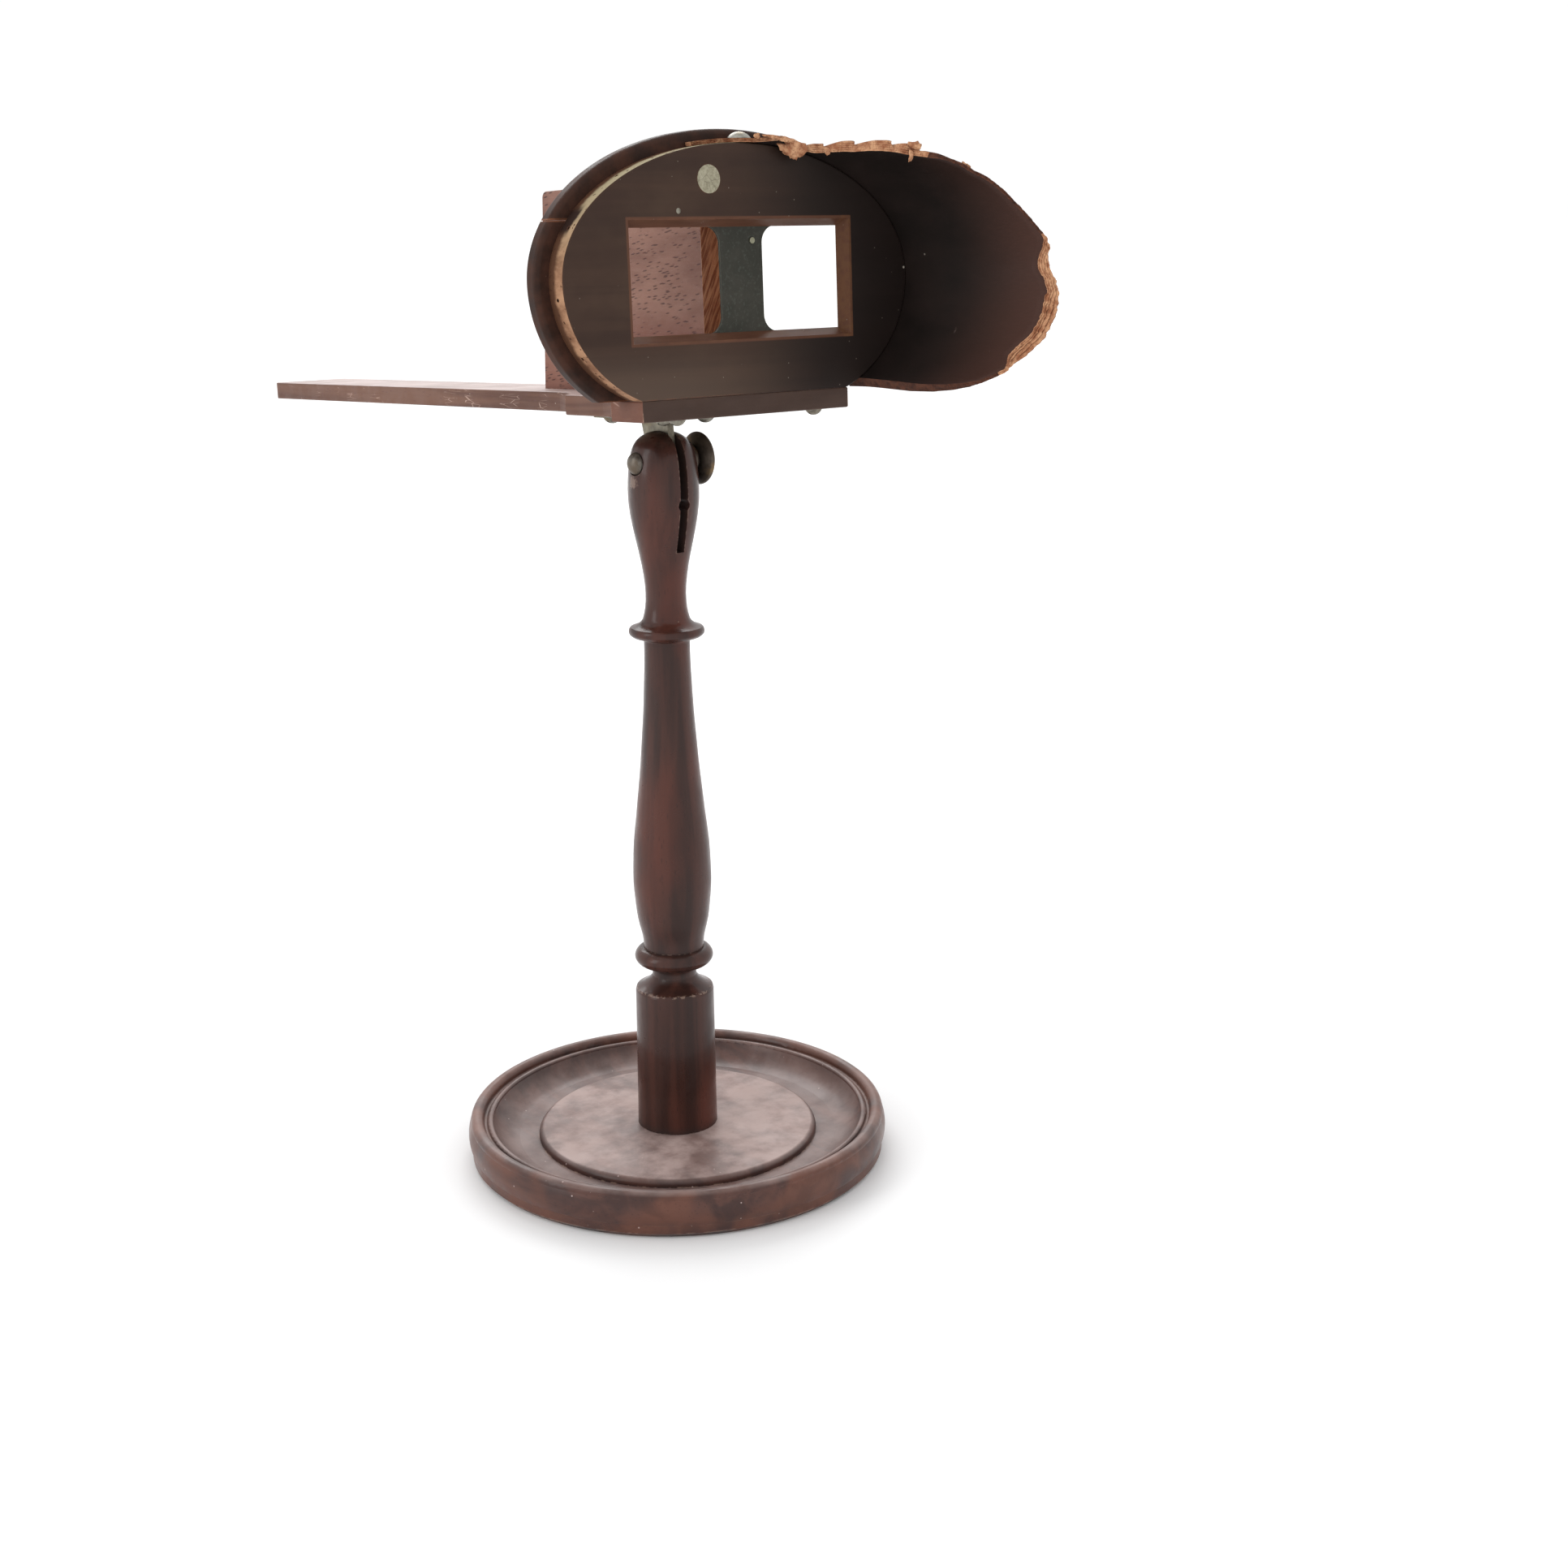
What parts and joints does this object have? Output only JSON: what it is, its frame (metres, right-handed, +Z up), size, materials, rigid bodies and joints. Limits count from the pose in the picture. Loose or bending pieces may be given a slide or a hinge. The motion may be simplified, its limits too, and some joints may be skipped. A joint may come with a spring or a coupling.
{
  "type": "stereo viewer",
  "caption": "Pedestal stereo viewer: turned wooden stand, tilting viewing head with twin sight windows, partition, long card shaft and a broken bentwood eye hood.",
  "frame": {"origin": "centre of the base's underside, on the table", "axes": "+Z up, +Y the way the user looks along the shaft, +X to the user's right"},
  "size_m": [0.1455, 0.3453, 0.3333],
  "materials": {
    "mahogany_dark": "french polished",
    "mahogany_base": "worn polish",
    "mahogany_shaft": "worn, dusty",
    "stained_board": "dull stain",
    "moulding": "dull stain",
    "laminate": "stained inside, bare torn edge",
    "pale_wood": "bare",
    "filler": "matte filler",
    "mask_card": "matte dark green",
    "steel": "tarnished",
    "brass": "tarnished",
    "glass": "clear"
  },
  "bodies": {
    "stand": {"base_disc": "mahogany_base", "foot_plug": "mahogany_base", "column": "mahogany_dark", "column_screw": "steel", "clamp_bolt": "steel"},
    "washer": {"clamp_washer": "brass"},
    "knob": {"clamp_knob": "brass"},
    "head": {"tilt_bracket": "steel", "bracket_screws": "steel", "shaft_board": "mahogany_shaft", "septum": "mahogany_shaft", "septum_screws": "steel", "lens_board": "stained_board", "lens_board_screws": "steel", "mask_plate": "mask_card", "mask_pin": "brass", "lens_left": "glass", "lens_right": "glass", "lens_rail_top": "pale_wood", "lens_rail_bottom": "pale_wood", "lens_divider": "pale_wood", "ring_upper": "moulding", "ring_left": "moulding", "ring_right": "moulding", "hood_shell": "laminate", "hood_nails": "steel", "top_tack": "steel", "board_plug": "filler", "board_brad": "steel"}
  },
  "joints": [
    {"name": "head_tilt", "type": "hinge", "parent": "stand", "child": "head", "pos_m": [0, 0, 0.2341], "axis": [1, 0, 0], "range_deg": [-60, 60]},
    {"name": "knob_travel", "type": "slide", "parent": "stand", "child": "washer", "axis": [1, 0, 0], "range_m": [0, 0.0015]},
    {"name": "knob_turn", "type": "hinge", "parent": "washer", "child": "knob", "pos_m": [0.0128, 0, 0.2341], "axis": [1, 0, 0], "range_deg": [0, 540]}
  ],
  "couplings": [
    {"joint": "knob_turn", "follows": "knob_travel", "rad_per_m": 6282.6}
  ]
}
